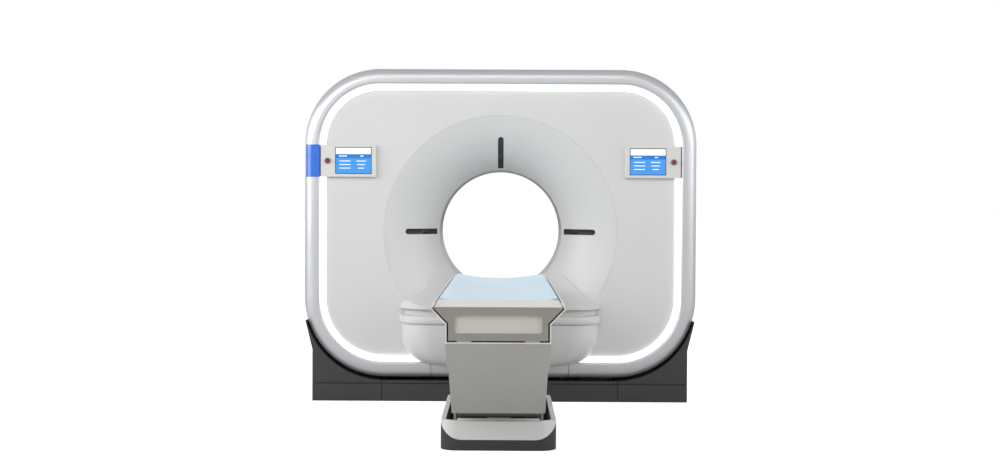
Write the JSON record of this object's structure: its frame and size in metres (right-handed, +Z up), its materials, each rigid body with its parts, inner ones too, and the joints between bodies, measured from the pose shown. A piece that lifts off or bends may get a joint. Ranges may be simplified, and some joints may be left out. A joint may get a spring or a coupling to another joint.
{
  "type": "ct scanner",
  "caption": "Computed tomography scanner: round-cornered gantry with a through bore, and a sliding patient table on a parallelogram lift.",
  "frame": {"origin": "on the floor straight below the isocentre, at the centre of the gantry's anchor pattern", "axes": "+X to the right for a viewer at the table's near end, +Y along the bore away from the table's near end, +Z up"},
  "size_m": [2.26, 3.246, 1.914],
  "materials": {
    "satin_silver": "satin",
    "panel_white": "satin",
    "light_band": "glowing diffuser",
    "smoked_window": "gloss",
    "liner_grey": "satin",
    "console_beige": "satin",
    "screen_blue": "gloss",
    "stop_red": "gloss",
    "collar_grey": "satin",
    "badge_blue": "gloss",
    "base_dark": "satin",
    "skirt_dark": "satin",
    "frame_steel": "powder coated",
    "bare_steel": "brushed",
    "cast_alloy": "machined",
    "copper_track": "polished",
    "tube_black": "satin",
    "belt_rubber": "matte",
    "detector_black": "matte",
    "lead_grey": "cast",
    "table_white": "satin",
    "tray_light": "satin",
    "cap_taupe": "satin",
    "mattress_blue": "coated fabric",
    "column_grey": "satin"
  },
  "bodies": {
    "root": {"badge_plate": "badge_blue", "base_corner_left": "skirt_dark", "base_corner_right": "skirt_dark", "base_frame": "frame_steel", "base_skirts": "skirt_dark", "bearing_race_outer": "bare_steel", "bezel_front": "satin_silver", "bezel_lower_front": "satin_silver", "bezel_rear": "satin_silver", "bore_liners": "liner_grey", "brush_block": "detector_black", "chin_bowl": "panel_white", "chin_lid": "panel_white", "console_left": "console_beige", "console_right": "console_beige", "drive_belt": "belt_rubber", "drive_motor": "cast_alloy", "foot_base": "base_dark", "foot_cover": "table_white", "front_dish": "panel_white", "front_panel": "panel_white", "laser_windows": "smoked_window", "lift_gearmotor": "cast_alloy", "light_ring": "light_band", "pivot_brackets": "frame_steel", "rear_dish": "panel_white", "rear_panel": "panel_white", "scan_window": "liner_grey", "side_cover_left": "panel_white", "side_cover_right": "panel_white", "stator_frame": "frame_steel", "stop_collars": "collar_grey", "top_under_covers": "panel_white", "touchscreens": "screen_blue"},
    "rotor": {"rotor_disc": "cast_alloy", "bearing_inner": "bare_steel", "slip_ring": "copper_track", "xray_tube": "tube_black", "collimator": "lead_grey", "detector_cradle": "cast_alloy", "detector_modules": "detector_black", "high_voltage_units": "tube_black", "heat_exchanger": "cast_alloy", "counterweight": "lead_grey"},
    "drive_pulley": {"drive_pulley": "bare_steel"},
    "stop_left": {"stop_button_left": "stop_red"},
    "stop_right": {"stop_button_right": "stop_red"},
    "rear_arm": {"lift_arm_rear": "frame_steel"},
    "front_arm": {"lift_arm_front": "frame_steel", "arm_cover": "column_grey"},
    "table": {"table_frame": "frame_steel", "table_hood": "column_grey", "trough": "table_white", "slide_drive": "cast_alloy"},
    "roller": {"drive_roller": "belt_rubber"},
    "tabletop": {"end_cap": "table_white", "cap_fascia": "cap_taupe", "grip_tray": "tray_light", "cradle": "table_white", "mattress": "mattress_blue"}
  },
  "joints": [
    {"name": "rotor_spin", "type": "hinge", "parent": "root", "child": "rotor", "pos_m": [0, 0, 0.975], "axis": [0, 1, 0], "continuous": true},
    {"name": "lift", "type": "hinge", "parent": "root", "child": "rear_arm", "pos_m": [0, -1.36, 0.19], "axis": [-1, 0, 0], "range_deg": [-22, 10]},
    {"name": "tabletop_slide", "type": "slide", "parent": "table", "child": "tabletop", "axis": [0, 1, 0], "range_m": [0, 1.65]},
    {"name": "stop_left_press", "type": "slide", "parent": "root", "child": "stop_left", "axis": [0, 1, 0], "range_m": [0, 0.004], "stiffness_N_per_m": 800, "springref_m": -0.001},
    {"name": "stop_right_press", "type": "slide", "parent": "root", "child": "stop_right", "axis": [0, 1, 0], "range_m": [0, 0.004], "stiffness_N_per_m": 800, "springref_m": -0.001},
    {"name": "pulley_spin", "type": "hinge", "parent": "root", "child": "drive_pulley", "pos_m": [0.64, 0, 0.415], "axis": [0, 1, 0], "continuous": true},
    {"name": "front_arm_swing", "type": "hinge", "parent": "root", "child": "front_arm", "pos_m": [0, -2.01, 0.19], "axis": [-1, 0, 0], "range_deg": [-22, 10]},
    {"name": "table_level", "type": "hinge", "parent": "rear_arm", "child": "table", "pos_m": [0, -1.88, 0.515], "axis": [-1, 0, 0], "range_deg": [-10, 22]},
    {"name": "roller_spin", "type": "hinge", "parent": "table", "child": "roller", "pos_m": [0, -0.95, 0.6057], "axis": [-1, 0, 0], "continuous": true}
  ],
  "couplings": [
    {"joint": "pulley_spin", "follows": "rotor_spin", "ratio": 12.667},
    {"joint": "front_arm_swing", "follows": "lift", "ratio": 1},
    {"joint": "table_level", "follows": "lift", "ratio": -1},
    {"joint": "roller_spin", "follows": "tabletop_slide", "rad_per_m": 45.455}
  ]
}
